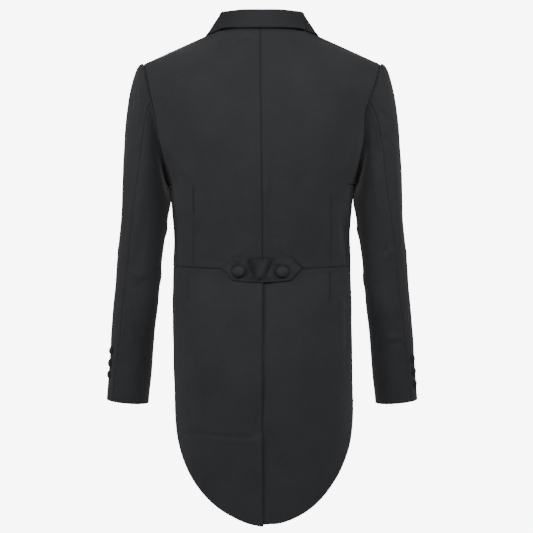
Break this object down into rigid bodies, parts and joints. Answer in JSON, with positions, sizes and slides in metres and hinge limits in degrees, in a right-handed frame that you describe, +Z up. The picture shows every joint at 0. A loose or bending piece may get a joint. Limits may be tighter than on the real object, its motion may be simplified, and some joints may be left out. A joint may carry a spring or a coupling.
{
  "type": "white tie tailcoat",
  "caption": "Black evening tailcoat in its worn hollow form, with long rounded tails, peaked lapels and a buttoned half belt at the back waist.",
  "frame": {"origin": "middle of the neck, level with the shoulders, where the wearer carries the coat", "axes": "+Z up, +Y out of the coat's back, +X towards the wearer's left side"},
  "size_m": [0.5996, 0.2658, 0.9746],
  "materials": {
    "black_wool": "fine matt wool suiting",
    "collar_facing": "smooth dull-sheen facing",
    "button_cover": "tightly stretched covering cloth"
  },
  "bodies": {
    "root": {"back_left": "black_wool", "back_right": "black_wool", "front_left": "black_wool", "front_right": "black_wool", "tail_left": "black_wool", "tail_right": "black_wool", "sleeve_top_left": "black_wool", "sleeve_top_right": "black_wool", "sleeve_under_left": "black_wool", "sleeve_under_right": "black_wool", "back_tab": "black_wool", "collar": "collar_facing", "lapel_left": "collar_facing", "lapel_right": "collar_facing", "tab_button_left": "button_cover", "tab_button_right": "button_cover", "cuff_button_left_1": "button_cover", "cuff_button_left_2": "button_cover", "cuff_button_left_3": "button_cover", "cuff_button_right_1": "button_cover", "cuff_button_right_2": "button_cover", "cuff_button_right_3": "button_cover"}
  },
  "joints": []
}
